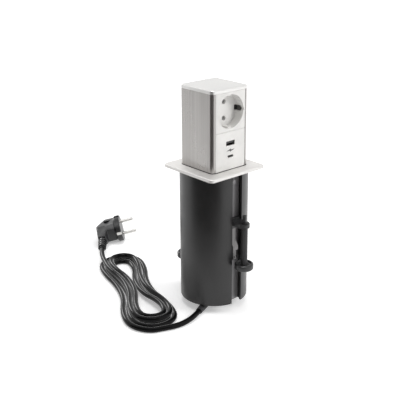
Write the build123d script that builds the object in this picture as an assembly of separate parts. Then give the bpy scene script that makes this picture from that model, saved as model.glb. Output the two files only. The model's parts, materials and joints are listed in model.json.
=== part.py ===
from build123d import *
from math import cos, dist, pi, radians, sin, sqrt, tan
import os

# A pop up desk socket: a square column with a mains socket and two charging ports
# rises out of a round tube that hangs in a hole in the desk. Millimetres.
# The origin is the middle of the flange's underside, where it seats on the desk.
# +Z is up, the socket faces -Y and +X is on the right of someone looking at it.

# Mains socket
recess_diameter = 39.0
recess_depth = 11.5
recess_margin = 3.0
pin_diameter = 4.8
pin_length = 19.0
pin_spacing = 19.0
pin_hole_diameter = 5.6

# Column
column_margin = 5.0
column_corner_radius = 4.8
column_wall = 2.0
cap_height = 4.3
column_tail = 36.0

# Flange, tube and foot
flange_overhang = 2.0
flange_thickness = 3.7
flange_corner_radius = 5.0
column_clearance = 1.6
tube_wall = 1.5
tube_length = 159.0
foot_height = 10.0
foot_wall = 1.8

# Channels for the clamps
channel_mouth = 14.6
channel_width = 19.0
channel_depth = 8.0
channel_lip = 2.2
channel_wall = 1.8

# Clamps
clamp_screw_diameter = 8.0
clamp_screw_standoff = 11.5
clamp_eye_diameter = 12.0
clamp_eye_height = 4.5
clamp_eye_drop = 55.0
clamp_tip_rise = 9.5
clamp_knob_diameter = 22.0
clamp_knob_height = 7.5
clamp_knob_drop = 103.8
clamp_rear_drop = 20.0

# Cord and plug
cord_diameter = 6.4
plug_disc_diameter = 37.0
plug_disc_thickness = 7.5

# Fits and general values
running_gap = 0.05
sliding_gap = 0.3
fitting_gap = 0.1
seat_gap = 0.02
overrun = 1.0
soft_edge = 0.6

# Places that follow from the sizes above
module_side = recess_diameter + 2 * recess_margin
column_side = module_side + 2 * column_margin
column_half = column_side / 2
column_corner_reach = (column_half - column_corner_radius) * sqrt(2) + column_corner_radius
tube_radius = column_corner_reach + column_clearance + tube_wall
tube_diameter = 2 * tube_radius
flange_side = tube_diameter + 2 * flange_overhang
flange_top = flange_thickness
window_top = flange_top + 2 * module_side
column_top = window_top + cap_height
usb_level = flange_top + module_side / 2
socket_level = usb_level + module_side
tube_bore_radius = tube_radius - tube_wall
channel_floor_reach = tube_radius - channel_depth
channel_back = channel_floor_reach - channel_wall
channel_half = channel_width / 2
floor_level = -tube_length - foot_height
cord_radius = cord_diameter / 2

os.makedirs("parts", exist_ok=True)


def save(name, *solids):
    """Writes one sub-part, which may be a group of like solids."""
    shape = solids[0] if len(solids) == 1 else Compound(children=list(solids))
    export_step(shape, f"parts/{name}.step")


def prism(outline, bottom, top):
    """A plan outline carried up from one level to another."""
    return extrude(Pos(0, 0, bottom) * outline, amount=top - bottom)


def front_prism(outline, back, front):
    """An outline drawn as seen from the front, carried towards the viewer."""
    return extrude(Plane.XZ.offset(-back) * outline, amount=back - front)


def side_prism(points, half_width):
    """An outline given in Y and Z, as wide as given on each side of the middle."""
    outline = make_face(Polyline(*points, close=True))
    return extrude(Plane.YZ * outline, amount=half_width, both=True)


def box_between(low, high):
    """A box from its lowest to its highest corner."""
    size = [high[i] - low[i] for i in range(3)]
    middle = [(high[i] + low[i]) / 2 for i in range(3)]
    return Pos(*middle) * Box(*size)


def upright(radius, bottom, top):
    """A round bar on the Z axis."""
    return prism(Circle(radius), bottom, top)


def tube_along(path, radius):
    """A round bar along a path, square to it at its start."""
    section = Plane(origin=path @ 0, z_dir=path % 0) * Circle(radius)
    return sweep(section, path=path)


# Flange: brushed plate that covers the hole in the desk, with softened edges.
flange_edge = 1.4
column_gap = 0.4
flange_opening_side = column_side + 2 * column_gap
flange_opening = RectangleRounded(
    flange_opening_side, flange_opening_side, column_corner_radius + column_gap
)
flange_plate = prism(
    RectangleRounded(flange_side, flange_side, flange_corner_radius), 0, flange_thickness
)
flange_plate = fillet(flange_plate.faces().sort_by(Axis.Z)[-1].edges(), flange_edge)
flange_plate -= prism(flange_opening, -overrun, flange_thickness + overrun)

# Collar: guides the column under the flange and takes the screws that hold it.
collar_height = 20.0
collar_screw_radius = 1.5
collar_screw_head_radius = 2.75
collar_screw_head_height = 2.0
collar_screw_bite = 2.4
collar_flat_reach = channel_back - sliding_gap
collar_opening_side = column_side + 2 * sliding_gap
collar_screw_x = (tube_bore_radius + collar_opening_side / 2) / 2
collar_screw_y = collar_screw_x / 4
collar_band = Rectangle(tube_diameter, 2 * collar_flat_reach)
collar_round = Circle(tube_bore_radius - fitting_gap) & collar_band
collar_outline = collar_round - RectangleRounded(
    collar_opening_side, collar_opening_side, column_corner_radius + sliding_gap
)
collar = prism(collar_outline, -collar_height, 0)
collar_screws = []
for side_x in (-1, 1):
    for side_y in (-1, 1):
        spot = Pos(side_x * collar_screw_x, side_y * collar_screw_y, 0)
        shank = upright(collar_screw_radius, -collar_height, collar_screw_bite)
        head = upright(
            collar_screw_head_radius, -collar_height, collar_screw_head_height - collar_height
        )
        screw = spot * (shank + head)
        collar -= screw
        flange_plate -= spot * upright(collar_screw_radius, -overrun, collar_screw_bite)
        collar_screws.append(screw)

# Tube: extruded section with a channel at the front and at the back.
channel_inner = channel_width + 2 * channel_wall
lip_back = tube_radius - channel_lip - (tube_radius - sqrt(tube_radius**2 - channel_half**2))
tube_outline = Circle(tube_radius) - Circle(tube_bore_radius)
for side in (-1, 1):
    pocket_depth = tube_radius - channel_back
    pocket_wall = Pos(0, side * (channel_back + pocket_depth / 2)) * Rectangle(
        channel_inner, pocket_depth
    )
    tube_outline += pocket_wall & Circle(tube_radius)
for side in (-1, 1):
    cavity_depth = lip_back - channel_floor_reach
    cavity = Pos(0, side * (channel_floor_reach + cavity_depth / 2)) * Rectangle(
        channel_width, cavity_depth
    )
    mouth_depth = tube_radius + overrun - channel_floor_reach
    mouth = Pos(0, side * (channel_floor_reach + mouth_depth / 2)) * Rectangle(
        channel_mouth, mouth_depth
    )
    tube_outline = tube_outline - cavity - mouth
tube = prism(tube_outline, -tube_length, 0)

# Tube screws: one in each channel, into the collar.
tube_screw_radius = 1.5
tube_screw_head_radius = 2.75
tube_screw_head_height = 1.8
tube_screw_bite = 1.6
tube_screw_level = -collar_height / 2
tube_screws = []
for side in (-1, 1):
    turn = Rot(0, 0, 90 + 90 * side)
    shank = front_prism(Circle(tube_screw_radius), tube_screw_bite - channel_back, -channel_floor_reach)
    head = front_prism(
        Circle(tube_screw_head_radius), -channel_floor_reach, -channel_floor_reach - tube_screw_head_height
    )
    screw = turn * (Pos(0, 0, tube_screw_level) * (shank + head))
    tube -= screw
    collar -= screw
    tube_screws.append(screw)

# Bottom cap: closes the tube and stands on a foot, which the cord leaves.
cap_plate_thickness = 3.0
cord_exit_angle = 205.0
cord_exit_height = 4.7
lead_bore_radius = cord_radius + fitting_gap
lead_bend_radius = 6.7
inner_lead_radius = 13.0
foot_radius = inner_lead_radius + lead_bend_radius + foot_wall
plate_top = -tube_length + cap_plate_thickness
cord_level = floor_level + cord_exit_height
exit_turn = Rot(0, 0, cord_exit_angle)
cap_plate = Circle(tube_bore_radius - fitting_gap) & Rectangle(
    tube_diameter, 2 * (channel_back - fitting_gap)
)
bottom_cap = prism(cap_plate, -tube_length, plate_top)
foot = upright(foot_radius, floor_level, -tube_length)
foot = chamfer(foot.faces().sort_by(Axis.Z)[0].edges(), soft_edge)
bottom_cap += foot


def elbow(past, radius):
    """The lead's bend in the foot, or the bore for it, which runs past both ends."""
    path = FilletPolyline(
        (inner_lead_radius, 0, plate_top + past),
        (inner_lead_radius, 0, cord_level),
        (foot_radius + past, 0, cord_level),
        radius=lead_bend_radius,
    )
    return exit_turn * tube_along(path, radius)


lead_elbow = elbow(0, cord_radius)
relief_root_radius = 4.6
relief_tip_radius = 3.9
relief_socket = 1.7
relief_length = 24.0
relief_root = foot_radius - relief_socket
relief_tip = foot_radius + relief_length
relief_place = Pos(relief_root, 0, cord_level) * Rot(0, 90, 0)
relief_room = relief_place * upright(relief_root_radius, 0, relief_length)
bottom_cap -= elbow(overrun, lead_bore_radius)
bottom_cap -= exit_turn * relief_room

# Strain relief: tapered rubber sleeve that the cord leaves the foot through.
relief_profile = make_face(
    Polyline(
        (relief_root, lead_bore_radius),
        (relief_root, relief_root_radius),
        (foot_radius, relief_root_radius),
        (relief_tip, relief_tip_radius),
        (relief_tip, lead_bore_radius),
        close=True,
    )
)
relief = revolve(Plane.XZ * relief_profile, Axis.X)
cord_relief = exit_turn * (Pos(0, 0, cord_level) * relief)

# Push latch: catches the striker when the column is pressed down.
latch_width = 13.0
latch_height = 17.0
latch_pocket_width = 7.0
latch_pocket_length = 5.2
latch_pocket_depth = 12.0
latch_top = plate_top + latch_height
push_latch = prism(Rectangle(latch_width, latch_width), plate_top, latch_top)
push_latch = chamfer(push_latch.edges().filter_by(Axis.Z), soft_edge * 2)
push_latch -= prism(
    Rectangle(latch_pocket_width, latch_pocket_length), latch_top - latch_pocket_depth, latch_top + overrun
)

# Column base: closes the column's lower end, runs in the tube and stops under the collar.
base_plate_thickness = 3.0
base_spigot_height = 8.0
base_shoe_half = 12.0
base_screw_radius = 1.5
base_screw_head_radius = 2.75
base_screw_head_height = 1.8
base_screw_length = 10.0
column_bottom = -column_tail
base_bottom = column_bottom - base_plate_thickness
shoe_top = -collar_height - sliding_gap
base_round = Circle(tube_bore_radius - sliding_gap) & collar_band
column_bore_side = column_side - 2 * column_wall
bore_corner_radius = (column_corner_radius - column_wall) / 2
column_base = prism(base_round, base_bottom, column_bottom)
shoe_band = base_round & Rectangle(tube_diameter, 2 * base_shoe_half)
shoe_outline = shoe_band - Rectangle(column_side, tube_diameter)
column_base += prism(shoe_outline, column_bottom, shoe_top)
spigot_side = column_bore_side - 2 * fitting_gap
spigot_ring = RectangleRounded(spigot_side, spigot_side, bore_corner_radius) - Rectangle(
    spigot_side - 4 * column_wall, spigot_side - 4 * column_wall
)

# Casing: extruded square tube, open at the front for the two modules.
port_radius = 2.8
port_centre = column_half - column_wall - port_radius + soft_edge
module_gap = 0.15
window_half = module_side / 2 + module_gap
casing_outline = RectangleRounded(column_side, column_side, column_corner_radius) - RectangleRounded(
    column_bore_side, column_bore_side, bore_corner_radius
)
for side in (-1, 1):
    casing_outline += Pos(side * port_centre, port_centre) * Circle(port_radius)
    spigot_ring -= Pos(side * port_centre, port_centre) * Circle(port_radius + sliding_gap)
column_casing = prism(casing_outline, column_bottom, window_top)
column_casing -= box_between(
    (-window_half, -column_half - overrun, flange_top),
    (window_half, -column_half + column_wall, window_top + overrun),
)
column_base += prism(spigot_ring, column_bottom, column_bottom + base_spigot_height)
base_screws = []
for side in (-1, 1):
    spot = Pos(side * port_centre, port_centre, 0)
    shank = upright(base_screw_radius, base_bottom, base_bottom + base_screw_length)
    head = upright(base_screw_head_radius, base_bottom, base_bottom + base_screw_head_height)
    screw = spot * (shank + head)
    column_base -= screw
    column_casing -= screw
    base_screws.append(screw)

# Striker under the column base, for the push latch.
striker_width = 6.0
striker_thickness = 4.0
striker_length = 14.0
striker_nose = 1.2
striker = prism(
    Rectangle(striker_width, striker_thickness), base_bottom - striker_length, base_bottom
)
striker = chamfer(striker.faces().sort_by(Axis.Z)[0].edges(), striker_nose)

# Lift spring round the latch: pushes the column up when the latch lets go.
spring_radius = 24.0
spring_wire = 2.2
spring_turns = 9
spring_start = plate_top + spring_wire / 2 + seat_gap
spring_rise = base_bottom - plate_top - spring_wire - 2 * seat_gap
spring_path = Pos(0, 0, spring_start) * Helix(
    pitch=spring_rise / spring_turns, height=spring_rise, radius=spring_radius
)
spring_section = Plane(origin=spring_path @ 0, z_dir=spring_path % 0) * Circle(spring_wire / 2)
lift_spring = sweep(spring_section, path=spring_path, is_frenet=True)

# Inner lead: loose turns that let the column travel, then up into the column.
inner_lead_turns = 3.5
inner_lead_start = plate_top + cord_radius + seat_gap
inner_lead_rise = base_bottom - plate_top - cord_diameter - 2 * seat_gap
inner_path = (
    Pos(0, 0, inner_lead_start)
    * exit_turn
    * Helix(pitch=inner_lead_rise / inner_lead_turns, height=inner_lead_rise, radius=inner_lead_radius)
)
inner_section = Plane(origin=inner_path @ 0, z_dir=inner_path % 0) * Circle(cord_radius)
inner_lead = sweep(inner_section, path=inner_path, is_frenet=True)
entry_angle = radians(cord_exit_angle + 360 * inner_lead_turns)
entry_x = inner_lead_radius * cos(entry_angle)
entry_y = inner_lead_radius * sin(entry_angle)
column_base -= Pos(entry_x, entry_y, 0) * upright(
    cord_radius + fitting_gap, base_bottom - overrun, column_bottom + base_spigot_height
)

# Socket module: front plate with its recess in one moulding.
rim_thickness = 2.0
rim_catch = 1.4
rim_half = window_half + rim_catch
cup_wall = 1.5
cup_floor = 2.5
key_width = 4.6
key_height = 2.0
plate_side = module_side - 2 * module_gap
plate_edge = 0.5
front_face = -column_half
rim_front = front_face + column_wall + fitting_gap
recess_radius = recess_diameter / 2
recess_floor = front_face + recess_depth
cup_back = recess_floor + cup_floor
clip_slot_half = 3.1
clip_slot_setback = 4.2
clip_notch_depth = 1.1
clip_notch_half = 1.5
clip_slot_depth = recess_depth + cup_floor - clip_slot_setback
clip_slot_front = cup_back - clip_slot_depth
cup_radius = recess_radius + cup_wall


def module_plate(level):
    """Front plate of one module, with a rim that catches behind the casing's edges."""
    plate = Pos(0, 0, level) * front_prism(
        RectangleRounded(plate_side, plate_side, plate_edge), rim_front, front_face
    )
    plate = chamfer(plate.faces().sort_by(Axis.Y)[0].edges(), plate_edge / 2)
    rim = Pos(0, 0, level) * front_prism(
        Rectangle(2 * rim_half, plate_side), rim_front + rim_thickness, rim_front
    )
    return plate + rim


socket_front = module_plate(socket_level)
cup = Pos(0, 0, socket_level) * front_prism(Circle(cup_radius), cup_back, rim_front)
bowl = Pos(0, 0, socket_level) * front_prism(Circle(recess_radius), recess_floor, front_face - overrun)
socket_front = socket_front + cup - bowl
for side in (-1, 1):
    key_place = socket_level + side * (recess_radius - key_height / 2 + fitting_gap)
    socket_front += Pos(0, 0, key_place) * front_prism(
        Rectangle(key_width, key_height), recess_floor, front_face + key_height
    )
    clip_slot_x = side * recess_radius
    clip_slot_reach = cup_wall + key_height
    socket_front -= box_between(
        (clip_slot_x - clip_slot_reach, clip_slot_front, socket_level - clip_slot_half),
        (clip_slot_x + clip_slot_reach, cup_back + overrun, socket_level + clip_slot_half),
    )
    socket_front -= box_between(
        (clip_slot_x - clip_notch_depth, front_face - overrun, socket_level - clip_notch_half),
        (clip_slot_x + clip_notch_depth, clip_slot_front + overrun, socket_level + clip_notch_half),
    )
    pin_level = socket_level + side * pin_spacing / 2
    socket_front -= Pos(0, 0, pin_level) * front_prism(
        Circle(pin_hole_diameter / 2), cup_back + overrun, recess_floor - overrun
    )

# Shutter: slides sideways behind the recess to open both pin holes at once.
shutter_thickness = 2.0
shutter_travel = 5.5
shutter_half_height = 13.0
shutter_lap = 1.7
shutter_edge = 0.6
shutter_cover = pin_hole_diameter / 2 + shutter_lap
shutter_front = cup_back + fitting_gap
shutter_back = shutter_front + shutter_thickness
shutter_low = -shutter_travel - pin_hole_diameter / 2 - shutter_edge
shutter = box_between(
    (shutter_low, shutter_front, socket_level - shutter_half_height),
    (shutter_cover, shutter_back, socket_level + shutter_half_height),
)
for side in (-1, 1):
    shutter -= Pos(-shutter_travel, 0, socket_level + side * pin_spacing / 2) * front_prism(
        Circle(pin_hole_diameter / 2), shutter_back + overrun, shutter_front - overrun
    )

# Socket base: block behind the recess that holds the contacts and guides the shutter.
base_half = recess_radius - cup_wall / 2
base_back = 11.0
contact_radius = 3.4
contact_bore_radius = pin_diameter / 2 + fitting_gap
contact_front = shutter_back + fitting_gap
contact_back = base_back - cup_floor
socket_base = box_between(
    (-base_half, cup_back, socket_level - base_half), (base_half, base_back, socket_level + base_half)
)
socket_base -= box_between(
    (shutter_low - fitting_gap, cup_back - overrun, socket_level - shutter_half_height - fitting_gap),
    (
        shutter_travel + shutter_cover + fitting_gap,
        shutter_back + fitting_gap,
        socket_level + shutter_half_height + fitting_gap,
    ),
)
pin_contacts = []
for side in (-1, 1):
    pin_level = socket_level + side * pin_spacing / 2
    sleeve_ring = Circle(contact_radius) - Circle(contact_bore_radius)
    slit = Rectangle(2 * contact_radius + overrun, contact_bore_radius / 2)
    sleeve = Pos(0, 0, pin_level) * front_prism(sleeve_ring - slit, contact_back, contact_front)
    stem = Pos(0, 0, pin_level) * front_prism(
        Circle(contact_radius), contact_back + cup_floor, contact_back
    )
    contact = sleeve + stem
    socket_base -= Pos(0, 0, pin_level) * front_prism(
        Circle(contact_radius + fitting_gap), base_back + overrun, contact_front - overrun
    )
    pin_contacts.append(contact)

# Earth clip: one bent strip with an arm at each side of the recess.
clip_thickness = 0.8
clip_half_height = 2.4
clip_bulge_depth = 1.9
clip_arm_setback = 0.9
clip_bulge = recess_radius - clip_bulge_depth
clip_tip = recess_radius + fitting_gap
clip_arm = recess_radius + clip_arm_setback
clip_bridge = base_back + clip_thickness / 2
clip_front = clip_slot_front + 2 * fitting_gap
clip_peak = clip_front + clip_slot_depth / 4
clip_heel = clip_front + clip_slot_depth / 2
clip_line = Polyline(
    (-clip_tip, clip_front),
    (-clip_bulge, clip_peak),
    (-clip_arm, clip_heel),
    (-clip_arm, clip_bridge),
    (clip_arm, clip_bridge),
    (clip_arm, clip_heel),
    (clip_bulge, clip_peak),
    (clip_tip, clip_front),
)
clip_outline = trace(clip_line, line_width=clip_thickness)
earth_clip = prism(clip_outline, socket_level - clip_half_height, socket_level + clip_half_height)

# Charging module: front plate, two ports, board and back cover.
usb_a_rise = 8.8
usb_c_drop = 6.5
usb_a_level = usb_level + usb_a_rise
usb_c_level = usb_level - usb_c_drop
usb_a_width = 13.2
usb_a_height = 5.8
usb_c_width = 9.0
usb_c_height = 3.3
port_shell = 0.35
port_depth = 13.5
port_inset = 0.4
port_front = front_face + port_inset
port_back = port_front + port_depth
board_thickness = 1.6
board_side_margin = 3.5
board_end_margin = 3.0
board_half_width = module_side / 2 - board_side_margin
board_half_height = module_side / 2 - board_end_margin
cover_wall = 1.2
cover_half = module_side / 2 - cover_wall
cover_back = 12.0
tongue_a_width = 11.0
tongue_a_thickness = 1.9
tongue_a_offset = 0.9
tongue_c_width = 6.7
tongue_c_thickness = 0.7
usb_a_outline = RectangleRounded(usb_a_width, usb_a_height, port_shell * 2)
usb_a_hole = RectangleRounded(usb_a_width - 2 * port_shell, usb_a_height - 2 * port_shell, port_shell)
usb_c_outline = RectangleRounded(usb_c_width, usb_c_height, usb_c_height / 2 - seat_gap)
usb_c_hole = RectangleRounded(
    usb_c_width - 2 * port_shell, usb_c_height - 2 * port_shell, usb_c_height / 2 - port_shell - seat_gap
)
usb_a_room = RectangleRounded(usb_a_width + 2 * fitting_gap, usb_a_height + 2 * fitting_gap, port_shell * 2)
usb_c_room = RectangleRounded(
    usb_c_width + 2 * fitting_gap, usb_c_height + 2 * fitting_gap, usb_c_height / 2
)
usb_front = module_plate(usb_level)
rim_back = rim_front + rim_thickness
for level, room in ((usb_a_level, usb_a_room), (usb_c_level, usb_c_room)):
    usb_front -= Pos(0, 0, level) * front_prism(room, rim_back + overrun, front_face - overrun)


def port(level, outline, hole, tongue_outline, tongue_shift):
    """Folded steel shell of a charging port, and the tongue inside it."""
    shell = front_prism(outline, port_back, port_front) - front_prism(
        hole, port_back - port_shell, port_front - overrun
    )
    tongue = Pos(0, 0, tongue_shift) * front_prism(
        tongue_outline, port_back - port_shell, port_front + port_inset * 2
    )
    return Pos(0, 0, level) * shell, Pos(0, 0, level) * tongue


usb_a_shell, usb_a_tongue = port(
    usb_a_level, usb_a_outline, usb_a_hole, Rectangle(tongue_a_width, tongue_a_thickness), tongue_a_offset
)
usb_c_shell, usb_c_tongue = port(
    usb_c_level, usb_c_outline, usb_c_hole, Rectangle(tongue_c_width, tongue_c_thickness), 0
)
usb_board = box_between(
    (-board_half_width, port_back, usb_level - board_half_height),
    (board_half_width, port_back + board_thickness, usb_level + board_half_height),
)
board_back = port_back + board_thickness
transformer_width = 16.0
transformer_height = 14.0
transformer_depth = 12.0
capacitor_radius = 4.0
capacitor_length = 14.0
transformer_level = usb_level - board_half_height / 2
transformer = box_between(
    (-transformer_width / 2, board_back, transformer_level - transformer_height / 2),
    (transformer_width / 2, board_back + transformer_depth, transformer_level + transformer_height / 2),
)
transformer = chamfer(transformer.edges().filter_by(Axis.Y), soft_edge * 2)
capacitor_level = usb_level + board_half_height / 2
capacitors = []
for side in (-1, 1):
    capacitor = Pos(side * transformer_width / 2, 0, capacitor_level) * front_prism(
        Circle(capacitor_radius), board_back + capacitor_length, board_back
    )
    capacitors.append(chamfer(capacitor.faces().sort_by(Axis.Y)[-1].edges(), soft_edge))
usb_cover = box_between(
    (-cover_half, rim_back, usb_level - cover_half), (cover_half, cover_back, usb_level + cover_half)
)
usb_cover -= box_between(
    (-cover_half + cover_wall, rim_back - overrun, usb_level - cover_half + cover_wall),
    (cover_half - cover_wall, cover_back - cover_wall, usb_level + cover_half - cover_wall),
)
usb_cover -= box_between(
    (-cover_half - overrun, port_back - sliding_gap, usb_level - board_half_height / 4),
    (cover_half + overrun, board_back + sliding_gap, usb_level + board_half_height / 4),
)

# Terminal block on the casing's back wall, with its three screws.
terminal_width = 30.0
terminal_depth = 10.0
terminal_height = 14.0
terminal_pitch = terminal_width / 3
terminal_screw_radius = 2.0
terminal_screw_depth = 3.0
terminal_level = usb_level + module_side / 2
wall_face = column_half - column_wall
terminal_front = wall_face - terminal_depth
terminal_bottom = terminal_level - terminal_height / 2
terminal_top = terminal_level + terminal_height / 2
terminal_block = box_between(
    (-terminal_width / 2, terminal_front, terminal_bottom), (terminal_width / 2, wall_face, terminal_top)
)
terminal_block = chamfer(terminal_block.edges().filter_by(Axis.X), soft_edge)
terminal_screws = []
for slot in (-1, 0, 1):
    screw = Pos(slot * terminal_pitch, 0, terminal_level) * front_prism(
        Circle(terminal_screw_radius), terminal_front + terminal_screw_depth, terminal_front
    )
    terminal_block -= screw
    terminal_screws.append(screw)

# Wires from the terminals up to the socket's contacts and its earth clip.
wire_radius = 1.1
wire_rise = 6.0
wire_bend = 4.0
wire_y = (terminal_front + wall_face) / 2
low_pin_level = socket_level - pin_spacing / 2
high_pin_level = socket_level + pin_spacing / 2
wire_routes = {
    "wire_earth": [
        (-terminal_pitch, wire_y, terminal_top),
        (-terminal_pitch, wire_y, socket_level),
        (-terminal_pitch, clip_bridge + clip_thickness / 2, socket_level),
    ],
    "wire_line": [
        (0, wire_y, terminal_top),
        (0, wire_y, low_pin_level),
        (0, base_back, low_pin_level),
    ],
    "wire_neutral": [
        (terminal_pitch, wire_y, terminal_top),
        (terminal_pitch, wire_y, terminal_top + wire_rise),
        (0, wire_y, high_pin_level),
        (0, base_back, high_pin_level),
    ],
}
wires = {}
for name, route in wire_routes.items():
    wires[name] = tube_along(FilletPolyline(*route, radius=wire_bend), wire_radius)

# Lead inside the column, from the base up to the terminals.
column_lead_rise = 10.0
column_lead_path = FilletPolyline(
    (entry_x, entry_y, base_bottom),
    (entry_x, entry_y, column_bottom + base_spigot_height + column_lead_rise),
    (0, wire_y, terminal_bottom - 3 * column_lead_rise),
    (0, wire_y, terminal_bottom),
    radius=cord_diameter * 2,
)
column_lead = tube_along(column_lead_path, cord_radius)

# Top cap: satin lid of the column, with a spigot that locates it in the casing.
cap_edge = 1.3
cap_spigot_depth = 3.0
top_cap = prism(RectangleRounded(column_side, column_side, column_corner_radius), window_top, column_top)
top_cap = fillet(top_cap.faces().sort_by(Axis.Z)[-1].edges(), cap_edge)
cap_spigot_wall = 1.4
cap_spigot_front = cup_back + overrun
cap_spigot_back = spigot_side / 2
cap_spigot_half = port_centre - port_radius - sliding_gap
cap_spigot_side = cap_spigot_back - cap_spigot_front
cap_spigot = Pos(0, (cap_spigot_back + cap_spigot_front) / 2) * (
    Rectangle(2 * cap_spigot_half, cap_spigot_side)
    - Rectangle(2 * (cap_spigot_half - cap_spigot_wall), cap_spigot_side - 2 * cap_spigot_wall)
)
top_cap += prism(cap_spigot, window_top - cap_spigot_depth, window_top)

# Clamp: a slider in the channel carries an eye, and a screw in the eye presses on the desk.
slider_height = 12.0
slider_gap = 0.25
slider_half = channel_half - slider_gap
slider_back = -channel_floor_reach - slider_gap
slider_front = -lip_back + slider_gap
neck_half = channel_mouth / 2 - slider_gap
eye_top = -clamp_eye_drop
eye_bottom = eye_top - clamp_eye_height
slider_top = eye_top + slider_height / 6
slider_bottom = slider_top - slider_height
eye_hole_radius = clamp_screw_diameter / 2 + running_gap
screw_y = -tube_radius - clamp_screw_standoff
knob_top = -clamp_knob_drop
knob_bottom = knob_top - clamp_knob_height
tip_height = 8.0
tip_shoulder = 1.6
tip_radius = clamp_screw_diameter / 2 - tip_shoulder
tip_stem_radius = 1.5
tip_stem_depth = 4.0
screw_top = eye_top + clamp_tip_rise - tip_height
bracket = box_between(
    (-slider_half, slider_front, slider_bottom), (slider_half, slider_back, slider_top)
)
bracket += box_between((-neck_half, screw_y, eye_bottom), (neck_half, slider_back, eye_top))
eye_radius = clamp_eye_diameter / 2
bracket -= box_between(
    (-clamp_eye_diameter, screw_y - eye_radius, eye_bottom - overrun),
    (clamp_eye_diameter, screw_y, eye_top + overrun),
)
screw_line = Pos(0, screw_y, 0)
bracket += screw_line * upright(eye_radius, eye_bottom, eye_top)
bracket -= screw_line * upright(eye_hole_radius, eye_bottom - overrun, eye_top + overrun)
screw_foot = knob_bottom + clamp_knob_height / 3
stem_foot = screw_top - tip_stem_depth
screw_rod = screw_line * upright(clamp_screw_diameter / 2, screw_foot, screw_top)
screw_rod -= screw_line * upright(tip_stem_radius + running_gap, stem_foot, screw_top)
tip = screw_line * (
    upright(tip_radius, screw_top + running_gap, screw_top + tip_height)
    + upright(tip_stem_radius, stem_foot + running_gap, screw_top + running_gap)
)
knob_rim = 2.4
knob_dish = 1.6
knob_radius = clamp_knob_diameter / 2
knob_profile = make_face(
    Polyline(
        (0, knob_bottom),
        (knob_radius - knob_rim / 2, knob_bottom),
        (knob_radius, knob_bottom + knob_rim / 2),
        (knob_radius, knob_top - knob_rim / 2),
        (knob_radius - knob_rim / 2, knob_top),
        (knob_radius - knob_rim, knob_top),
        (clamp_screw_diameter, knob_top - knob_dish),
        (0, knob_top - knob_dish),
        close=True,
    )
)
knob = screw_line * revolve(Plane.XZ * knob_profile, Axis.Z)
knob -= screw_rod

# Strap: spring steel strip that keeps the slider where it is set.
strap_half = 4.0
strap_thickness = 1.6
strap_length = 34.0
strap_kink = 3.2
strap_kink_drop = 22.4
strap_kink_length = 6.8
tail_half = 2.6
tail_length = 12.0
tail_thickness = 1.2
tail_lap = 5.7
strap_back = slider_back - slider_gap
strap_top = slider_bottom + slider_height / 2
strap_kink_level = strap_top - strap_kink_drop
strap_end = strap_top - strap_length
strap_face = strap_back - strap_thickness
strap = side_prism(
    [
        (strap_back, strap_top),
        (strap_face, strap_top),
        (strap_face, strap_kink_level),
        (strap_face - strap_kink, strap_kink_level - strap_kink_length),
        (strap_face - strap_kink, strap_end),
        (strap_back - strap_kink, strap_end),
        (strap_back - strap_kink, strap_kink_level - strap_kink_length),
        (strap_back, strap_kink_level),
    ],
    strap_half,
)
tail_top = strap_end + tail_lap
tail_back = strap_back - strap_kink + tail_thickness
tail = box_between(
    (-tail_half, strap_back - strap_kink, strap_end - tail_length), (tail_half, tail_back, tail_top)
)
tail -= Pos(0, 0, strap_end - tail_length + tail_half) * front_prism(
    Circle(tail_thickness), tail_back + overrun, strap_back - strap_kink - overrun
)
strap = strap + tail
strap_room = box_between(
    (-strap_half - fitting_gap, strap_face - fitting_gap, slider_bottom - overrun),
    (strap_half + fitting_gap, strap_back + fitting_gap, strap_top + fitting_gap),
)
bracket -= strap_room
rivet_radius = 1.4
rivet_level = (slider_bottom + strap_top) / 2
rivet = Pos(0, 0, rivet_level) * front_prism(
    Circle(rivet_radius), slider_back - running_gap, strap_face - fitting_gap
)
strap -= rivet
bracket -= rivet

clamp_pieces = {
    "clamp_bracket": bracket,
    "clamp_strap": strap,
    "clamp_rivet": rivet,
    "clamp_tip": tip,
    "clamp_screw": screw_rod,
    "clamp_knob": knob,
}
clamp_places = {"front": Pos(0, 0, 0), "rear": Pos(0, 0, -clamp_rear_drop) * Rot(0, 0, 180)}

# Hank: loops that spiral in on the floor, climb a layer along a run and spiral out again.
hank_heading = 68.0
hank_x = -86.1
hank_y = 11.8
hank_reach = 141.0
hank_low_radius = 13.0
hank_high_radius = 11.0
hank_waist = 1.8
hank_step = 7.0
hank_waist_step = 7.6
hank_layer_step = 7.05
hank_first = -4
hank_turn = 18
hank_last = 31
hank_along = Vector(cos(radians(hank_heading)), sin(radians(hank_heading)), 0)
hank_across = Vector(hank_along.Y, -hank_along.X, 0)
hank_floor = Vector(hank_x, hank_y, floor_level + cord_radius + seat_gap)
parallel_share = 1e-9


def hank_node(number):
    """Place and heading of the cord at one eighth of a turn of the hank."""
    offset = abs(number - hank_turn) / 8
    lift = min(max(number - (hank_turn - 1), 0), 2) / 2 * hank_layer_step
    low = hank_low_radius + offset * hank_step
    high = hank_high_radius + offset * hank_step
    waist = hank_waist + offset * hank_waist_step
    spots = [
        (hank_reach + high, 0, 1),
        (hank_reach, high, 0),
        (hank_reach / 2, waist, 0),
        (0, low, 0),
        (-low, 0, -1),
        (0, -low, 0),
        (hank_reach / 2, -waist, 0),
        (hank_reach, -high, 0),
    ]
    along, across, sideways = spots[number % 8]
    spot = hank_floor + hank_along * along + hank_across * across + Vector(0, 0, lift)
    heading = hank_across * sideways
    if sideways == 0:
        heading = hank_along * (-1 if across > 0 else 1)
    return spot, heading


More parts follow.
